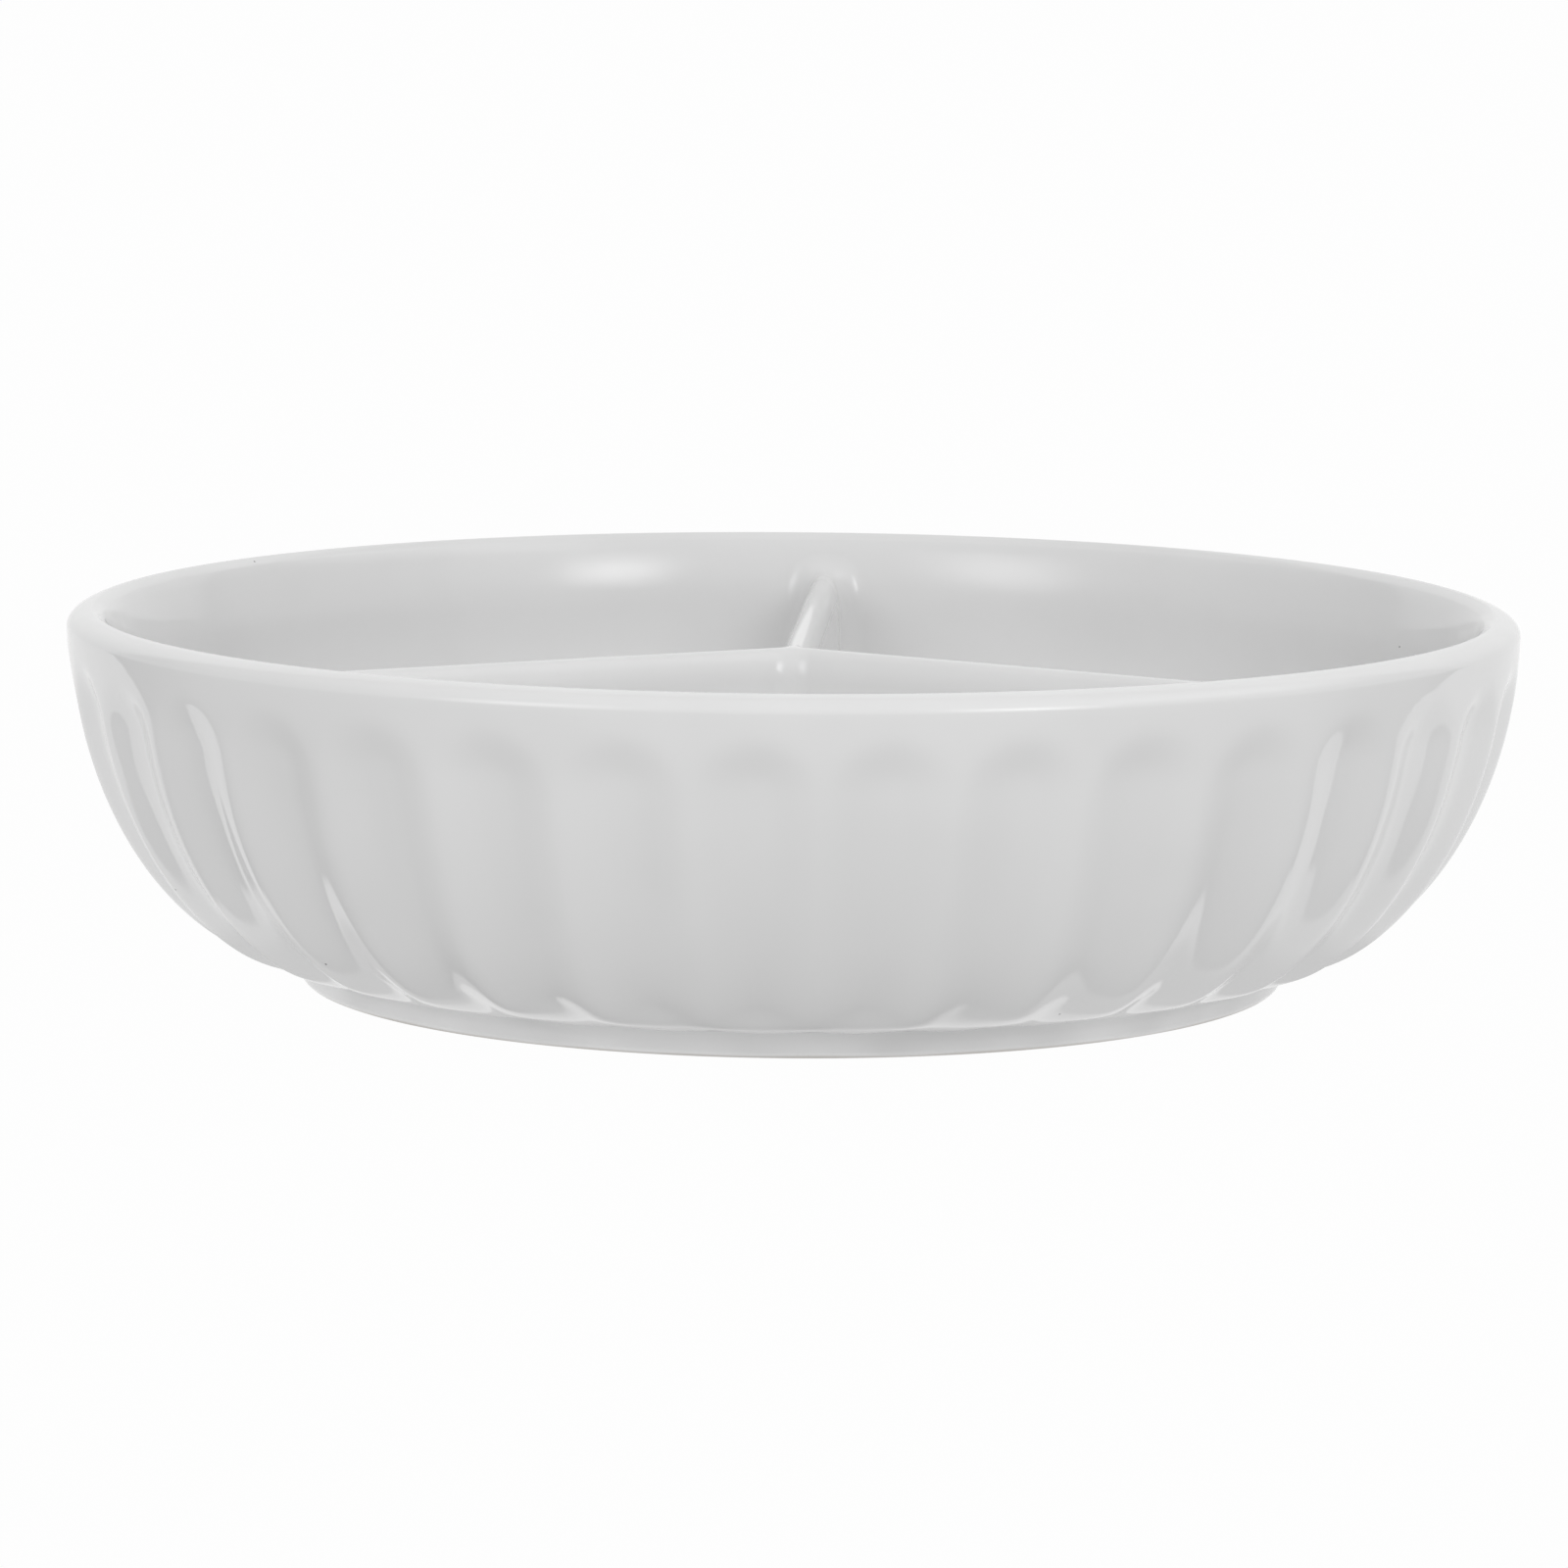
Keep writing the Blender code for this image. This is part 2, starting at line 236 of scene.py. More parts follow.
def inside_section():
    """Floor and inside wall as (radius, height) points, up to the foot of the lip."""
    radius = np.linspace(0, FLOOR_RADIUS, FLOOR_RINGS, endpoint=False)
    floor = np.column_stack([radius, np.full(FLOOR_RINGS, FLOOR_Z)])
    angle = np.linspace(0, math.pi / 2, INSIDE_RINGS)
    z = FLOOR_Z + (INSIDE_TOP_Z - FLOOR_Z) * (1 - np.cos(angle))
    return np.vstack([floor, np.column_stack([inside_radius(z), z])])


def lip_section():
    """The lip's inner slope, its small inner rounding, and its broad outer one."""
    slope_z = np.linspace(INSIDE_TOP_Z, BOWL_HEIGHT - INNER_ROUND, SLOPE_RINGS)[1:]
    round_z = BOWL_HEIGHT - INNER_ROUND * (1 - np.sin(np.linspace(0, math.pi / 2, ROUND_RINGS)[1:]))
    inner_z = np.concatenate([slope_z, round_z])
    inner = np.column_stack([inside_radius(inner_z), inner_z])
    angle = np.linspace(0, math.pi / 2, CREST_RINGS)[1:]
    drop = LIP_FALL * np.sin(angle) + (1 - LIP_FALL) * (1 - np.cos(angle))
    outer = np.column_stack([CREST_RADIUS + LIP_WIDTH * np.sin(angle), BOWL_HEIGHT - LIP_ROUND * drop])
    return np.vstack([inner, outer])


def outside_section():
    """The belly from its widest place down to the base, with rings closer together near the base."""
    climb = np.linspace(1, 0, OUTSIDE_RINGS) ** OUTSIDE_CROWDING
    z = BASE_Z + (WIDEST_Z - BASE_Z) * climb
    return np.column_stack([outside_radius(z), z])


def underside_section():
    """The base inside the foot ring: its first two rings lie above that ring, where nobody sees them."""
    radius = (FOOT_RADIUS - FOOT_COVER) * (1 - np.linspace(0, 1, UNDERSIDE_RINGS) ** UNDERSIDE_CROWDING)
    return np.column_stack([radius, np.full(len(radius), BASE_Z + UNDERSIDE_LIFT)])


sections = [inside_section(), lip_section(), outside_section(), underside_section()]
section = np.vstack(sections)
outside_from = len(sections[0]) + len(sections[1])
outside_to = outside_from + len(sections[2])
print("section has", len(section), "points, of which the outside has", outside_to - outside_from)

# %% Depth of a flute
FLUTE_COUNT = 36
FLUTE_DEPTH = 1.6 * MM
RIDGE_HALF = 0.9 * MM
FLANK_WIDTH = 5.4 * MM
FLANK_SOFTNESS = 0.08
FLUTE_TOP = 3.4 * MM
ARCH_RISE = 7.0 * MM
TOE_END = 1.0 * MM
TOE_RISE = 11.0 * MM
HALF_PITCH = math.pi / FLUTE_COUNT


def soft_positive(value, softness):
    """About max(value, 0), with a rounded corner."""
    return softness * np.logaddexp(0, value / softness)


def scoop_depth(across, radius, length, top_length):
    """Depth of a flute: across is in radians from its middle, length runs up the wall from the base."""
    half_width = HALF_PITCH * radius - RIDGE_HALF
    sideways = across * radius / half_width
    arch = np.clip(length - (top_length - FLUTE_TOP - ARCH_RISE), 0, None) / ARCH_RISE
    toe = np.clip(TOE_END + TOE_RISE - length, 0, None) / TOE_RISE
    inward = half_width * (1 - np.sqrt(sideways ** 2 + arch ** 2 + toe ** 2))
    share = inward / FLANK_WIDTH
    return FLUTE_DEPTH * (soft_positive(share, FLANK_SOFTNESS) - soft_positive(share - 1, FLANK_SOFTNESS))


print(FLUTE_COUNT, "flutes, each", round(2 * HALF_PITCH * RIM_RADIUS / MM, 1), "mm wide at the rim")

# %% Flutes pushed into the outside
SEAT_LENGTH = 12.0 * MM
SEAT_CURVE = 1.5
SEAT_INSET = 0.9 * MM
RIDGE_LIFT = 0.75 * MM
COLUMNS_PER_FLUTE = 18
RIDGE_CROWDING = 0.5


def outward(points):
    """Unit normals of a section that runs downward on its outer side, as (radial, upward) parts."""
    along = np.gradient(points, axis=0)
    normal = np.column_stack([-along[:, 1], along[:, 0]])
    return normal / np.linalg.norm(normal, axis=1, keepdims=True)


def fluted_points():
    """All rings of the body, with the flutes pushed in and columns crowded towards the ridges."""
    columns = FLUTE_COUNT * COLUMNS_PER_FLUTE
    even = np.linspace(-1, 1, COLUMNS_PER_FLUTE, endpoint=False)
    across = HALF_PITCH * (even + RIDGE_CROWDING * np.sin(math.pi * even) / math.pi)
    turn = (2 * HALF_PITCH * np.arange(FLUTE_COUNT)[:, None] + across).ravel()
    across = np.tile(across, FLUTE_COUNT)
    radius = np.repeat(section[:, :1], columns, axis=1)
    height = np.repeat(section[:, 1:], columns, axis=1)
    wall = section[outside_from:outside_to]
    steps = np.linalg.norm(np.diff(wall, axis=0), axis=1)
    length = np.concatenate([np.cumsum(steps[::-1])[::-1], [0]])[:, None]
    push = scoop_depth(across[None, :], wall[:, :1], length, length[0])
    normal = outward(wall)
    seat = np.clip(1 - length / SEAT_LENGTH, 0, 1) ** SEAT_CURVE
    middle = 0.5 + 0.5 * np.cos(across[None, :] / HALF_PITCH * math.pi)
    radius[outside_from:outside_to] -= push * normal[:, :1] * (1 - seat) + SEAT_INSET * middle * seat
    height[outside_from:outside_to] -= push * normal[:, 1:] * (1 - seat) - RIDGE_LIFT * (1 - middle) * seat
    return np.stack([radius * np.cos(turn), radius * np.sin(turn), height], axis=2)


body_points = fluted_points()
body = add_piece("fluted_body", body_points.reshape(-1, 3).tolist(), ring_faces(*body_points.shape[:2]))

# %% [markdown]
# ## The foot ring
#
# A low ring that leans in a little towards the table. Its standing edge is wiped bare of glaze so that the
# pot doesn't stick to the kiln shelf. A torus or a bevelled tube could stand in for it. A turned section
# with rounded lower corners gives it the lean as well, and the net helper is already there.

# %% Foot ring
FOOT_WIDTH = 6.2 * MM
FOOT_TAPER = 0.3 * MM
FOOT_EDGE = 1.0 * MM
FOOT_LAP = 0.1 * MM
FOOT_TOP_Z = BASE_Z + FOOT_LAP
FOOT_COLUMNS = 240
CORNER_POINTS = 7


def rounded_corner(centre_r, centre_z, radius, start, end):
    """Points of an arc in the section, from one angle to another."""
    angle = np.linspace(start, end, CORNER_POINTS)
    return np.column_stack([centre_r + radius * np.cos(angle), centre_z + radius * np.sin(angle)])


def foot_points():
    """Rings of the foot: across its top, round both lower corners and back up the inside."""
    outer = FOOT_RADIUS - FOOT_TAPER - FOOT_EDGE
    inner = FOOT_RADIUS - FOOT_WIDTH + FOOT_TAPER + FOOT_EDGE
    top = np.array([[FOOT_RADIUS - FOOT_WIDTH, FOOT_TOP_Z], [FOOT_RADIUS, FOOT_TOP_Z]])
    outside = rounded_corner(outer, FOOT_EDGE, FOOT_EDGE, 0, -math.pi / 2)
    inside = rounded_corner(inner, FOOT_EDGE, FOOT_EDGE, -math.pi / 2, -math.pi)
    ring = np.vstack([top, outside, inside, top[:1]])
    turn = np.linspace(0, 2 * math.pi, FOOT_COLUMNS, endpoint=False)
    radius, height = ring[:, :1], ring[:, 1:]
    flat = np.broadcast_to(height, (len(ring), FOOT_COLUMNS))
    return np.stack([radius * np.cos(turn), radius * np.sin(turn), flat], axis=2)


ring_points = foot_points()
foot = add_piece("standing_foot", ring_points.reshape(-1, 3).tolist(), ring_faces(*ring_points.shape[:2]))

# %% [markdown]
# ## The walls between the bays
#
# Three walls meet on the axis. Each one has a full round crest, faces that lean a little, and one fillet
# that runs along the floor, up the bowl's wall and over the end of the crest. Bevels can't follow such a
# joint, so half a wall is worked out as a sheet: at each place along and up the wall, the half thickness
# grows as the place comes near the bowl. Mirrored and turned, six such sheets close into one body.

# %% Fillets between a wall and the bowl
TINY = 1e-9


def flare(distance, radius):
    """How far a fillet stands out at a distance from the surface that it runs into."""
    short = np.clip(radius - distance, 0, radius)
    return radius - np.sqrt(radius ** 2 - short ** 2)


def distance_to_bowl(along, z):
    """Distance of a place in a wall's middle plane from the floor and wall of the bowl."""
    above = np.maximum(z - inside_height(along), 0)
    before = np.maximum(inside_radius(z) - along, 0)
    return above * before / np.maximum(np.hypot(above, before), TINY)


print("a 4 mm fillet stands out by", round(float(flare(1.0, 4.0)), 2), "mm at 1 mm from the floor")

# %% Rows of half a wall between two bays
ARM_COUNT = 3
CREST_Z = BOWL_HEIGHT - 5.8 * MM
CREST_HALF = 2.3 * MM
CREST_ROUND = 4.2 * MM
FACE_LEAN = math.tan(math.radians(1.5))
JOINT_FILLET = 4.2 * MM
CREST_FILLET = 5.0 * MM
LIP_LEAN = math.radians(18)
HUB_FILLET = 5.0 * MM
CREST_FILLET_END = CREST_FILLET * (1 - math.cos(LIP_LEAN))
HALF_SECTOR = math.pi / ARM_COUNT
FILLET_COLUMNS = 18
STRAIGHT_COLUMNS = 16
FILLET_ROWS = 11
FACE_ROWS = 14
CREST_ROWS = 16


def arm_heights():
    """Rows from floor to crest, close together in the fillet and in the rounding of the crest."""
    fillet = FLOOR_Z + JOINT_FILLET * (1 - np.cos(np.linspace(0, math.pi / 2, FILLET_ROWS)))
    face = np.linspace(FLOOR_Z + JOINT_FILLET, CREST_Z - CREST_ROUND, FACE_ROWS)
    crest = CREST_Z - CREST_ROUND * (1 - np.sin(np.linspace(0, math.pi / 2, CREST_ROWS)))
    return np.concatenate([fillet[:-1], face[:-1], crest])


def arm_row(z):
    """Points of one row of the sheet: along the wall, half thickness, height."""
    into_crest = max(CREST_ROUND - (CREST_Z - z), 0) / CREST_ROUND
    rounding = math.sqrt(max(1 - into_crest ** 2, 0))
    face = CREST_HALF + FACE_LEAN * (CREST_Z - z)
    at_hub = (face + flare(z - FLOOR_Z, JOINT_FILLET)) * rounding
    straight = (at_hub + HUB_FILLET) / math.tan(HALF_SECTOR)
    hub = straight - HUB_FILLET * math.cos(HALF_SECTOR)
    end = inside_radius(z + flare(CREST_FILLET_END, CREST_FILLET) * into_crest)
    quarter = np.linspace(0, math.pi / 2, FILLET_COLUMNS)
    along = np.concatenate([
        (hub + (straight - hub) * np.sin(quarter))[:-1],
        np.linspace(straight, end - JOINT_FILLET, STRAIGHT_COLUMNS)[:-1],
        end - JOINT_FILLET * (1 - np.sin(quarter)),
    ])
    lift = flare(end - along + CREST_FILLET_END, CREST_FILLET) * into_crest
    thick = (face + flare(distance_to_bowl(along, z + lift), JOINT_FILLET)) * rounding
    short = np.clip(straight - along, 0, HUB_FILLET)
    curve = at_hub + HUB_FILLET - np.sqrt(HUB_FILLET ** 2 - short ** 2)
    thick = np.where(along < straight, curve, thick)
    round_back = (end - np.sqrt(end ** 2 - thick ** 2)) * (along / end) ** 2
    return np.column_stack([along - round_back, thick, z + lift])


print("half a wall has", len(arm_heights()), "rows of", len(arm_row(CREST_Z)), "points")

# %% Half a wall as a sheet, closed at its foot, its crest and its outer end
SUNK = 0.4 * MM
WALL_SHARP_ANGLE = math.radians(50)


def closed_sheet():
    """Rows of half a wall, sunk a little into the bowl and folded in to the wall's middle plane."""
    sheet = np.stack([arm_row(z) for z in arm_heights()])
    below = sheet[:1] - np.array([0, 0, SUNK])
    sheet = np.concatenate([below, sheet])
    beyond = sheet[:, -1:] + np.array([SUNK, 0, 0])
    sheet = np.concatenate([sheet, beyond], axis=1)
    flat = np.array([1, 0, 1])
    sheet = np.concatenate([sheet[:1] * flat, sheet, sheet[-1:] * flat])
    return np.concatenate([sheet, sheet[:, -1:] * flat], axis=1)


def arm_faces(rows, columns, first):
    """Four-sided faces of a sheet whose points start at a given number."""
    faces = []
    for row in range(rows - 1):
        for column in range(columns - 1):
            corner = first + row * columns + column
            faces.append((corner, corner + 1, corner + columns + 1, corner + columns))
    return faces


def bay_walls():
    """All three walls: two mirrored sheets each, closed along the axis at the foot and the crest."""
    sheet = closed_sheet()
    rows, columns = sheet.shape[:2]
    points, faces = [], []
    for arm in range(ARM_COUNT):
        turn = Matrix.Rotation(math.pi / 2 + 2 * HALF_SECTOR * arm, 3, "Z")
        for side in (1, -1):
            first = len(points)
            moved = (sheet * np.array([1, side, 1])).reshape(-1, 3) @ np.array(turn).T
            points += moved.tolist()
            faces += arm_faces(rows, columns, first)
            for row, inner in ((0, 1), (rows - 1, rows - 2)):
                axis_point = len(points)
                points.append([0, 0, sheet[row, 0, 2]])
                faces.append((axis_point, first + row * columns, first + inner * columns))
    return add_piece("bay_walls", points, faces, WALL_SHARP_ANGLE)


walls = bay_walls()

# %% [markdown]
# ## Shader arithmetic
#
# Finishes are written as sums and products of masks. Blender's own way is a Math node for each step, so a
# small class wraps a socket and adds those nodes when Python adds or multiplies. One method makes any other
# node.

# %% Sockets that take part in Python arithmetic
class Wire:
    """An output socket of a node tree."""

    def __init__(self, socket):
        self.socket = socket

    def node(self, kind, settings=None, sockets=None, output=0):
        """Adds any node to the same tree: its settings first, then the values or links of its sockets."""
        made = self.socket.id_data.nodes.new(kind)
        for name, value in (settings or {}).items():
            setattr(made, name, value)
        for name, value in (sockets or {}).items():
            connect(made.inputs[name], value)
        return Wire(made.outputs[output])

    def apply(self, operation, first, second):
        """A Math node for two wires or numbers."""
        return self.node("ShaderNodeMath", {"operation": operation}, {0: first, 1: second})

    def __add__(self, other):
        return self.apply("ADD", self, other)

    def __radd__(self, other):
        return self.apply("ADD", other, self)

    def __sub__(self, other):
        return self.apply("SUBTRACT", self, other)

    def __rsub__(self, other):
        return self.apply("SUBTRACT", other, self)

    def __mul__(self, other):
        return self.apply("MULTIPLY", self, other)

    def __rmul__(self, other):
        return self.apply("MULTIPLY", other, self)

    def step(self, low, high):
        """0 below low, 1 above high, and a smooth rise between them; low may also be the larger one."""
        return self.node(
            "ShaderNodeMapRange",
            {"interpolation_type": "SMOOTHSTEP"},
            {"Value": self, "From Min": low, "From Max": high},
        )


def connect(place, value):
    """Links a wire to an input socket, or sets the socket's own value."""
    if isinstance(value, Wire):
        place.id_data.links.new(value.socket, place)
    else:
        place.default_value = value


def first_wire(tree, kind, output):
    """The wire that a new node of a tree starts with."""
    return Wire(tree.nodes.new(kind).outputs[output])


def part_of(vector, axis):
    """One of the three numbers of a vector wire."""
    return vector.node("ShaderNodeSeparateXYZ", sockets={"Vector": vector}, output=axis)


print("a wire can be added, subtracted and multiplied, with a wire or a number on either side")

# %% [markdown]
# ## The glaze
#
# Clear gloss glaze over white clay. It is nearly one tone, but not quite: it is paler and sharper where it
# is thin and greyer where it pools, its surface has slow waves and a very slight orange peel, and here and
# there a pinhole is left where a bubble burst, with a dark dot of painted shade inside its pit. On the
# foot's standing edge the glaze is wiped away and the bare clay is matt. Image textures would need
# unwrapping.
# Noise in object space needs none, and no seam shows.

# %% Tones and scales of the glaze
GLAZE_TONE = (0.80, 0.80, 0.80, 1)
POOL_TONE = (0.78, 0.78, 0.78, 1)
# The foot's glaze is painted paler than the body's. This is painted light on a foot that stands in shade
# under the belly.
FOOT_PAINTED_LIGHT_TONE = (0.88, 0.88, 0.88, 1)
# Pinholes get a dark dot of painted shade inside their tiny pits.
PINHOLE_PAINTED_SHADE = (0.16, 0.16, 0.16, 1)
CLAY_TONE = (0.62, 0.60, 0.57, 1)
GLAZE_IOR = 1.5
GLOSS = 0.03
POOL_ROUGHNESS = 0.02
CLAY_ROUGHNESS = 0.6
POOLS_PER_METRE = 38.0
POOL_SPAN = (0.35, 0.65)
WAVES_PER_METRE = 75.0
WAVE_HEIGHT = 0.03 * MM
PEEL_PER_METRE = 900.0
PEEL_HEIGHT = 0.003 * MM
PINHOLES_PER_METRE = 85.0
PINHOLE_RADIUS = 0.18 * MM
PINHOLE_CORE = 0.6
PINHOLE_DEPTH = 0.1 * MM
BARE_BELOW = 0.35 * MM
GLAZED_ABOVE = 0.75 * MM
EDGE_WAVER = 0.4 * MM
CALM_RIPPLE = 0.25
print("pools", round(1 / POOLS_PER_METRE / MM), "and waves", round(1 / WAVES_PER_METRE / MM), "mm apart")


# %% Glaze and bare clay
def tone_mix(factor, first, second):
    """A colour between two, by a wire from 0 to 1."""
    return factor.node(
        "ShaderNodeMix",
        {"data_type": "RGBA"},
        {"Factor": factor, "A": first, "B": second},
        output="Result",
    )


def noise(place, scale, detail):
    """Soft random values over an object's own space."""
    return place.node("ShaderNodeTexNoise", sockets={"Vector": place, "Scale": scale, "Detail": detail})


def glaze(name, thin_or_painted_light_tone=GLAZE_TONE, bare_edge=False, ripple=1.0):
    """A glaze whose tone where it is thin is given, and for the foot that tone is painted paler as painted
    light; ripple scales its relief, and bare_edge wipes the lowest part.
    """
    material = bpy.data.materials.new(name)
    material.use_nodes = True
    shader = material.node_tree.nodes["Principled BSDF"]
    shader.inputs["IOR"].default_value = GLAZE_IOR
    place = first_wire(material.node_tree, "ShaderNodeTexCoord", "Object")
    pool = noise(place, POOLS_PER_METRE, detail=2.0)
    wave = noise(place, WAVES_PER_METRE, detail=0.0)
    peel = noise(place, PEEL_PER_METRE, detail=1.0)
    bubble = place.node(
        "ShaderNodeTexVoronoi",
        sockets={"Vector": place, "Scale": PINHOLES_PER_METRE},
        output="Distance",
    )
    reach = PINHOLE_RADIUS * PINHOLES_PER_METRE
    pinhole = bubble.step(reach, PINHOLE_CORE * reach)
    tone = tone_mix(pool.step(*POOL_SPAN), thin_or_painted_light_tone, POOL_TONE)
    # Painted shade darkens each pinhole's pit.
    tone = tone_mix(pinhole, tone, PINHOLE_PAINTED_SHADE)
    roughness = GLOSS + POOL_ROUGHNESS * pool
    if bare_edge:
        height = part_of(place, "Z")
        bare = (height + EDGE_WAVER * wave).step(GLAZED_ABOVE, BARE_BELOW)
        tone = tone_mix(bare, tone, CLAY_TONE)
        roughness = roughness + bare * (CLAY_ROUGHNESS - GLOSS)
    relief = WAVE_HEIGHT * wave + PEEL_HEIGHT * peel - PINHOLE_DEPTH * pinhole
    bump = place.node("ShaderNodeBump", sockets={"Height": ripple * relief, "Distance": 1.0})
    connect(shader.inputs["Base Color"], tone)
    connect(shader.inputs["Roughness"], roughness)
    connect(shader.inputs["Normal"], bump)
    print(name, "has", len(material.node_tree.nodes), "nodes")
    return material


# %% Dress the pieces
def dress(piece, material, slot, *nodes):
    """Gives a piece its finish and hands it to the frame in place of its solids."""
    piece.data.materials.append(material)
    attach(piece, "root")
    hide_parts(*nodes)
    print(piece.name, "wears", material.name, "in place of", ", ".join(nodes))


dress(body, glaze("body_glaze"), "body_glaze", "bowl_body")
# The foot wears the same glaze, painted paler as painted light.
dress(foot, glaze("foot_glaze", FOOT_PAINTED_LIGHT_TONE, bare_edge=True), "foot_glaze", "foot_ring")
wall_glaze = glaze("wall_glaze", ripple=CALM_RIPPLE)
dress(walls, wall_glaze, "divider_glaze", "divider_rear", "divider_left", "divider_right")

# %% [markdown]
# ## The table
#
# The photograph is cut out on white, so its studio can only be read from the reflections in the glaze.
# There the table is a bright strip. It widens behind the bowl, narrows and ends before it, has a notch on
# each side and is shaded close around the foot. The strip's edges draw the crisp lines along the outer
# flutes. Paper and cards could be laid out for this, but a pattern that only mirror rays meet is easier to
# tune. Other rays find an even glow, as white paper has in a light tent, and the camera sees plain white.

# %% Bright strip that mirror rays meet
SWEEP_HALF = 0.200
SWEEP_SOFT = 6 * MM
SWEEP_SHIFT = 6 * MM
SWEEP_BEHIND = 1.05
SWEEP_BEFORE = 2.5
SWEEP_FRONT = 0.067
NOTCH_FROM = 0.092
NOTCH_FRONT = 0.012
NOTCH_SOFT = 8 * MM
NOTCH_SLOPE = 2.0
NOTCH_EDGE, NOTCH_END = 0.156, 0.166
SHADE_IN = (0.072, 0.074)
SHADE_OUT = (0.090, 0.082)
SHADE = 0.4
BEYOND_SHARE = 0.15
MIRRORED_WHITE = 0.95


def mirrored_strip(place):
    """Brightness of the table in the glaze: highest on the strip, less beyond it and around the foot."""
    across = part_of(place, "X")
    away = part_of(place, "Y")
    sideways = place.node("ShaderNodeMath", {"operation": "ABSOLUTE"}, {0: across - SWEEP_SHIFT})
    before = place.node("ShaderNodeMath", {"operation": "MAXIMUM"}, {0: -1.0 * away, 1: 0.0})
    behind = place.node("ShaderNodeMath", {"operation": "MAXIMUM"}, {0: away, 1: 0.0})
    edge = sideways + SWEEP_BEFORE * before - SWEEP_BEHIND * behind
    within = edge.step(SWEEP_HALF + SWEEP_SOFT, SWEEP_HALF)
    within = within * before.step(SWEEP_FRONT + SWEEP_SOFT / 2, SWEEP_FRONT - SWEEP_SOFT / 2)
    notch = sideways.step(NOTCH_FROM, NOTCH_FROM + NOTCH_SOFT)
    notch = notch * before.step(NOTCH_FRONT, NOTCH_FRONT + NOTCH_SOFT)
    notch = notch * (sideways + NOTCH_SLOPE * before).step(NOTCH_EDGE, NOTCH_END)
    within = within * (1 - notch)
    span = place.node("ShaderNodeVectorMath", {"operation": "LENGTH"}, {0: place}, output="Value")
    shaded = span.step(*SHADE_IN) * span.step(*SHADE_OUT)
    return MIRRORED_WHITE * (BEYOND_SHARE + (1 - BEYOND_SHARE) * within) * (1 - SHADE * shaded)


print("beside the bowl the strip is", round(2 * SWEEP_HALF, 2), "m wide")

# %% Paper floor
FLOOR_SIZE = 12.0
FLOOR_DROP = 0.05 * MM
PAPER_ROUGHNESS = 0.9
PAPER_WHITE = (0.14, 0.14, 0.14, 1)
MIRRORED_GREY = (0.10, 0.10, 0.10, 1)
SEEN_WHITE = 0.985
TABLE_GLOW = 0.71


def paper_floor():
    """A large sheet of paper that glows by the kind of ray: camera, mirror or any other."""
    bpy.ops.mesh.primitive_plane_add(size=FLOOR_SIZE, location=(0, 0, -FLOOR_DROP))
    floor = bpy.context.object
    floor.name = "paper_floor"
    material = bpy.data.materials.new("white_paper")
    material.use_nodes = True
    tree = material.node_tree
    shader = tree.nodes["Principled BSDF"]
    shader.inputs["Roughness"].default_value = PAPER_ROUGHNESS
    shader.inputs["Specular IOR Level"].default_value = 0.0
    place = first_wire(tree, "ShaderNodeTexCoord", "Object")
    seen = first_wire(tree, "ShaderNodeLightPath", "Is Camera Ray")
    mirrored = first_wire(tree, "ShaderNodeLightPath", "Is Glossy Ray")
    connect(shader.inputs["Base Color"], tone_mix(mirrored, PAPER_WHITE, MIRRORED_GREY))
    lit = TABLE_GLOW + mirrored * (mirrored_strip(place) - TABLE_GLOW)
    white = place.node("ShaderNodeEmission", sockets={"Color": (1, 1, 1, 1), "Strength": 1.0})
    mixed = place.node("ShaderNodeMixShader", sockets={
        0: lit + seen * (SEEN_WHITE - lit),
        1: Wire(shader.outputs[0]),
        2: white,
    })
    connect(tree.nodes["Material Output"].inputs["Surface"], mixed)
    floor.data.materials.append(material)
    return floor


floor = paper_floor()
print(floor.name, "spans", tuple(round(v, 2) for v in floor.dimensions), "m")

# %% [markdown]
# ## The light tent
#
# A tent could be modelled as cloth with lamps outside. Here it is the world's light as a formula of
# direction, so each side can be set on its own. Low down it is dim at the sides and brighter in front and
# behind. A lighter band runs above that, the roof has a middle tone, and more light comes from high on the
# right. Mirror rays find the low sides brighter than other rays do, so the ends of the bays don't go dark.

# %% Light tent
FRONT_SPAN = (0.0, -0.6)
BACK_SPAN = (0.60, 0.66)
BAND_SPAN = (0.15, 0.40)
ROOF_SPAN = (0.65, 0.90)
RIGHT_SPAN = (0.2, 0.7)
HIGH_SPAN = (0.5, 0.8)
LOW_FRONT, LOW_SIDE, LOW_BACK = 0.50, 0.24, 0.92
BAND_FRONT, BAND_SIDE, BAND_BACK = 0.85, 0.49, 0.95
SIDE_GLINT = 0.4
HIGH_RIGHT = 0.85
TENT_TOP = 0.72


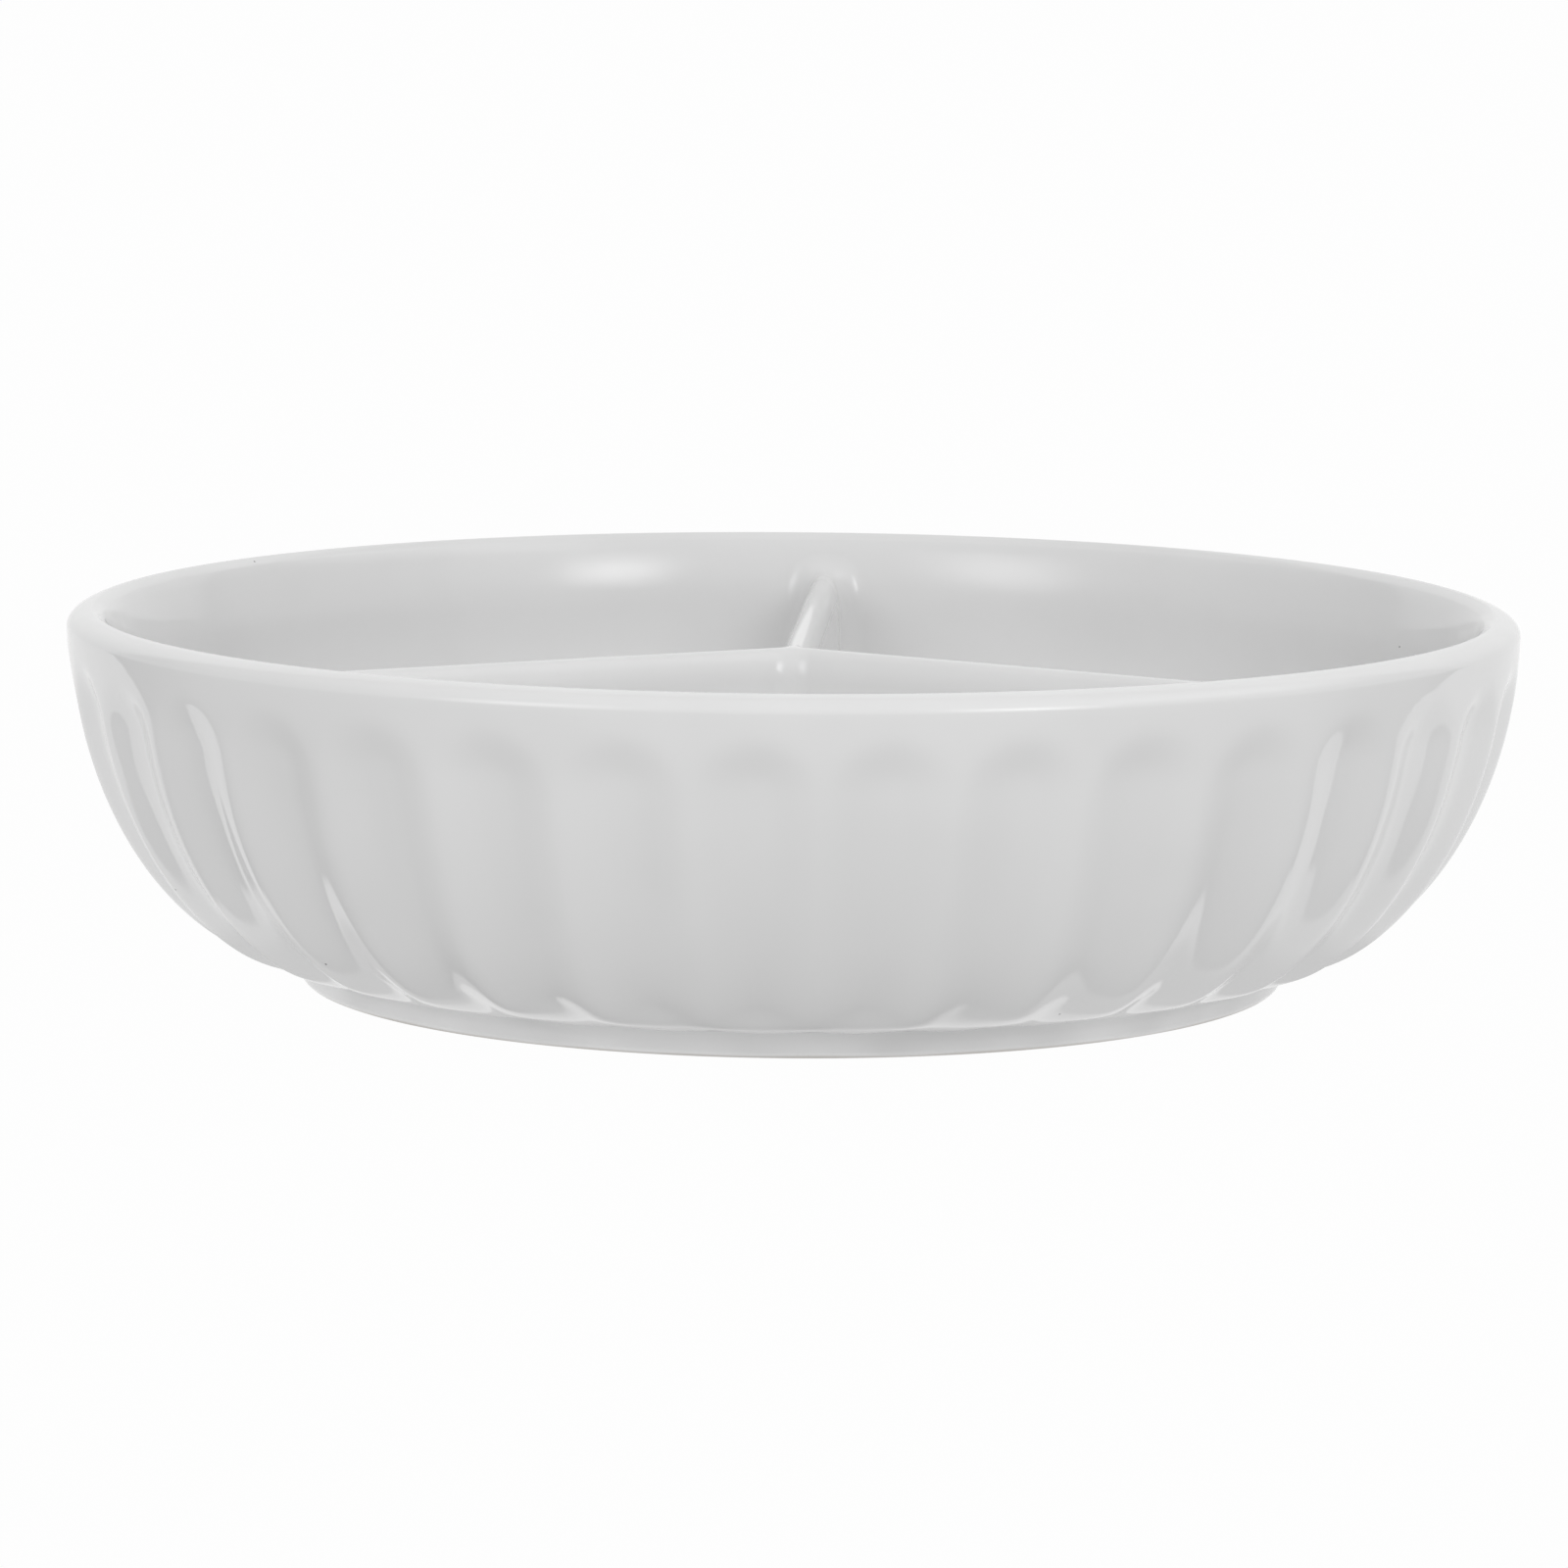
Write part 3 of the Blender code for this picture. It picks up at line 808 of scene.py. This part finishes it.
def tent():
    """World light by direction: x to the right, y away from the camera, z up."""
    world = bpy.data.worlds.new("light_tent")
    bpy.context.scene.world = world
    world.use_nodes = True
    tree = world.node_tree
    backdrop = tree.nodes["Background"]
    backdrop.inputs["Color"].default_value = (1, 1, 1, 1)
    seen = first_wire(tree, "ShaderNodeLightPath", "Is Camera Ray")
    mirrored = first_wire(tree, "ShaderNodeLightPath", "Is Glossy Ray")
    aim = first_wire(tree, "ShaderNodeTexCoord", "Generated")
    right = part_of(aim, "X")
    away = part_of(aim, "Y")
    up = part_of(aim, "Z")
    front = away.step(*FRONT_SPAN)
    back = away.step(*BACK_SPAN)
    low = LOW_SIDE + (LOW_FRONT - LOW_SIDE) * front + (LOW_BACK - LOW_SIDE) * back
    band = BAND_SIDE + (BAND_FRONT - BAND_SIDE) * front + (BAND_BACK - BAND_SIDE) * back
    side = (1 - front) * (1 - back)
    low = low + SIDE_GLINT * mirrored * side
    wall = low + up.step(*BAND_SPAN) * (band - low)
    level = wall + up.step(*ROOF_SPAN) * (TENT_TOP - wall)
    level = level + HIGH_RIGHT * right.step(*RIGHT_SPAN) * up.step(*HIGH_SPAN)
    connect(backdrop.inputs["Strength"], level + seen * (1 - level))
    return world


world = tent()
print(world.name, "has", len(world.node_tree.nodes), "nodes")

# %% [markdown]
# ## The softboxes
#
# Two softboxes stand in front. On the rear wall of the bays each one shows as a bright patch, the left one
# on the right and the right one on the left, because that wall is hollow. They add soft streaks on the lip
# too. Plain area lamps have hard borders that the glaze would show, so these fade towards their edges.

# %% Softboxes
BOX_FADE = 0.5


def softbox(name, place, size, power):
    """A rectangular lamp that is brightest in the middle, as one behind a diffuser is."""
    lamp = bpy.data.lights.new(name, "AREA")
    lamp.shape = "RECTANGLE"
    lamp.size, lamp.size_y = size
    lamp.energy = power
    lamp.use_nodes = True
    tree = lamp.node_tree
    spot = first_wire(tree, "ShaderNodeNewGeometry", "Parametric")
    across = part_of(spot, "X")
    along = part_of(spot, "Y")
    glow = across.step(0.0, BOX_FADE) * across.step(1.0, 1 - BOX_FADE)
    glow = glow * along.step(0.0, BOX_FADE) * along.step(1.0, 1 - BOX_FADE)
    connect(tree.nodes["Emission"].inputs["Strength"], glow)
    box = bpy.data.objects.new(name, lamp)
    box.location = place
    box.rotation_euler = (Vector(place) - Vector((0, 0, AIM_HEIGHT))).to_track_quat("Z", "Y").to_euler()
    bpy.context.scene.collection.objects.link(box)
    print(name, size, "m,", power, "W")


softbox("left_softbox", (-0.45, -0.55, 0.42), (0.56, 0.72), 3.05)
softbox("right_softbox", (0.36, -0.45, 0.34), (0.36, 0.46), 2.1)

# %% [markdown]
# ## Finish
#
# The Standard view shows white paper as white.

# %% Standard view
bpy.context.scene.view_settings.view_transform = "Standard"
